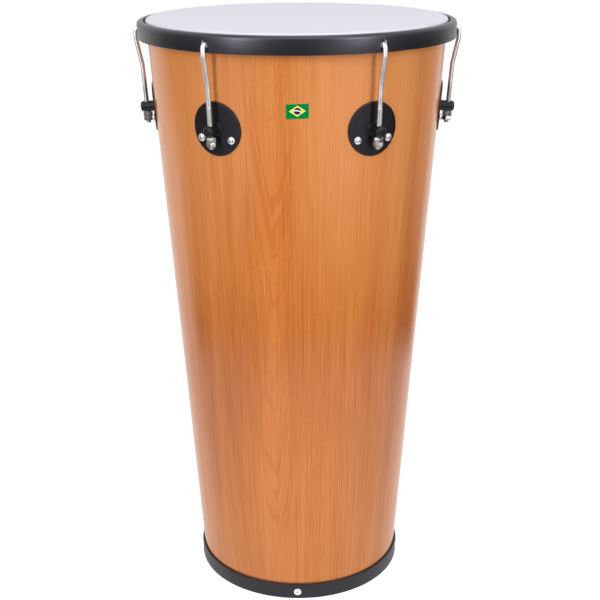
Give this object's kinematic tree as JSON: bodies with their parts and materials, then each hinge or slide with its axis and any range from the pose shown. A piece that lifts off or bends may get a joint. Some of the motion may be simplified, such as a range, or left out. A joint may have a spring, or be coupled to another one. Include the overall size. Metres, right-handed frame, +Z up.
{
  "type": "timbal drum",
  "caption": "Tall tapered hand drum with a lacquered wooden shell, a white plastic head, a black steel tuning hoop pulled down by hooked tension rods, and a black foot ring.",
  "frame": {"origin": "on the floor under the drum, at the centre of the foot ring", "axes": "+Z up along the drum's axis, -Y towards the front of the picture, +X to its right"},
  "size_m": [0.3868, 0.374, 0.7099],
  "materials": {
    "shell_wood": "orange-brown veneer under glossy lacquer",
    "ring_paint": "satin black paint on steel",
    "head_film": "smooth white film with a faint lavender tint",
    "flesh_hoop_metal": "dark anodised",
    "hoop_paint": "satin black paint on steel",
    "lug_paint": "satin black paint on steel",
    "rod_chrome": "bright chrome, duller on the thread",
    "nut_steel": "bright zinc-plated steel",
    "screw_steel": "bright nickel-plated steel",
    "rivet_metal": "bare satin"
  },
  "bodies": {
    "shell": {"shell": "shell_wood", "bottom_ring": "ring_paint", "head_film": "head_film", "lug_1": "lug_paint", "lug_screw_1_left": "screw_steel", "lug_screw_1_right": "screw_steel", "inner_nut_1_left": "nut_steel", "inner_nut_1_right": "nut_steel", "lug_2": "lug_paint", "lug_screw_2_left": "screw_steel", "lug_screw_2_right": "screw_steel", "inner_nut_2_left": "nut_steel", "inner_nut_2_right": "nut_steel", "lug_3": "lug_paint", "lug_screw_3_left": "screw_steel", "lug_screw_3_right": "screw_steel", "inner_nut_3_left": "nut_steel", "inner_nut_3_right": "nut_steel", "lug_4": "lug_paint", "lug_screw_4_left": "screw_steel", "lug_screw_4_right": "screw_steel", "inner_nut_4_left": "nut_steel", "inner_nut_4_right": "nut_steel", "lug_5": "lug_paint", "lug_screw_5_left": "screw_steel", "lug_screw_5_right": "screw_steel", "inner_nut_5_left": "nut_steel", "inner_nut_5_right": "nut_steel", "lug_6": "lug_paint", "lug_screw_6_left": "screw_steel", "lug_screw_6_right": "screw_steel", "inner_nut_6_left": "nut_steel", "inner_nut_6_right": "nut_steel", "ring_rivet_1": "rivet_metal", "ring_rivet_2": "rivet_metal", "ring_rivet_3": "rivet_metal", "ring_rivet_4": "rivet_metal"},
    "hoop": {"tuning_hoop": "hoop_paint", "flesh_hoop": "flesh_hoop_metal"},
    "hook_1": {"hook_1": "rod_chrome"},
    "nuts_1": {"tuning_nut_1": "nut_steel", "lock_nut_1": "nut_steel"},
    "hook_2": {"hook_2": "rod_chrome"},
    "nuts_2": {"tuning_nut_2": "nut_steel", "lock_nut_2": "nut_steel"},
    "hook_3": {"hook_3": "rod_chrome"},
    "nuts_3": {"tuning_nut_3": "nut_steel", "lock_nut_3": "nut_steel"},
    "hook_4": {"hook_4": "rod_chrome"},
    "nuts_4": {"tuning_nut_4": "nut_steel", "lock_nut_4": "nut_steel"},
    "hook_5": {"hook_5": "rod_chrome"},
    "nuts_5": {"tuning_nut_5": "nut_steel", "lock_nut_5": "nut_steel"},
    "hook_6": {"hook_6": "rod_chrome"},
    "nuts_6": {"tuning_nut_6": "nut_steel", "lock_nut_6": "nut_steel"}
  },
  "joints": [
    {"name": "hoop_slide", "type": "slide", "parent": "shell", "child": "hoop", "axis": [0, 0, -1], "range_m": [-0.002, 0.004]},
    {"name": "hook_slide_1", "type": "slide", "parent": "shell", "child": "hook_1", "axis": [0.0347, 0.0601, -0.9976], "range_m": [-0.00201, 0.00402]},
    {"name": "nut_turn_1", "type": "hinge", "parent": "shell", "child": "nuts_1", "pos_m": [-0.09046, -0.15669, 0.6042], "axis": [-0.0347, -0.0601, 0.9976], "range_deg": [-725, 1450]},
    {"name": "hook_slide_2", "type": "slide", "parent": "shell", "child": "hook_2", "axis": [-0.0347, 0.0601, -0.9976], "range_m": [-0.00201, 0.00402]},
    {"name": "nut_turn_2", "type": "hinge", "parent": "shell", "child": "nuts_2", "pos_m": [0.09046, -0.15669, 0.6042], "axis": [0.0347, -0.0601, 0.9976], "range_deg": [-725, 1450]},
    {"name": "hook_slide_3", "type": "slide", "parent": "shell", "child": "hook_3", "axis": [-0.0693, 0, -0.9976], "range_m": [-0.00201, 0.00402]},
    {"name": "nut_turn_3", "type": "hinge", "parent": "shell", "child": "nuts_3", "pos_m": [0.18093, 0, 0.6042], "axis": [0.0693, 0, 0.9976], "range_deg": [-725, 1450]},
    {"name": "hook_slide_4", "type": "slide", "parent": "shell", "child": "hook_4", "axis": [-0.0347, -0.0601, -0.9976], "range_m": [-0.00201, 0.00402]},
    {"name": "nut_turn_4", "type": "hinge", "parent": "shell", "child": "nuts_4", "pos_m": [0.09046, 0.15669, 0.6042], "axis": [0.0347, 0.0601, 0.9976], "range_deg": [-725, 1450]},
    {"name": "hook_slide_5", "type": "slide", "parent": "shell", "child": "hook_5", "axis": [0.0347, -0.0601, -0.9976], "range_m": [-0.00201, 0.00402]},
    {"name": "nut_turn_5", "type": "hinge", "parent": "shell", "child": "nuts_5", "pos_m": [-0.09046, 0.15669, 0.6042], "axis": [-0.0347, 0.0601, 0.9976], "range_deg": [-725, 1450]},
    {"name": "hook_slide_6", "type": "slide", "parent": "shell", "child": "hook_6", "axis": [0.0693, 0, -0.9976], "range_m": [-0.00201, 0.00402]},
    {"name": "nut_turn_6", "type": "hinge", "parent": "shell", "child": "nuts_6", "pos_m": [-0.18093, 0, 0.6042], "axis": [-0.0693, 0, 0.9976], "range_deg": [-725, 1450]}
  ],
  "couplings": [
    {"joint": "hook_slide_1", "follows": "hoop_slide", "ratio": 1.0024},
    {"joint": "nut_turn_1", "follows": "hoop_slide", "rad_per_m": 6298.3},
    {"joint": "hook_slide_2", "follows": "hoop_slide", "ratio": 1.0024},
    {"joint": "nut_turn_2", "follows": "hoop_slide", "rad_per_m": 6298.3},
    {"joint": "hook_slide_3", "follows": "hoop_slide", "ratio": 1.0024},
    {"joint": "nut_turn_3", "follows": "hoop_slide", "rad_per_m": 6298.3},
    {"joint": "hook_slide_4", "follows": "hoop_slide", "ratio": 1.0024},
    {"joint": "nut_turn_4", "follows": "hoop_slide", "rad_per_m": 6298.3},
    {"joint": "hook_slide_5", "follows": "hoop_slide", "ratio": 1.0024},
    {"joint": "nut_turn_5", "follows": "hoop_slide", "rad_per_m": 6298.3},
    {"joint": "hook_slide_6", "follows": "hoop_slide", "ratio": 1.0024},
    {"joint": "nut_turn_6", "follows": "hoop_slide", "rad_per_m": 6298.3}
  ]
}
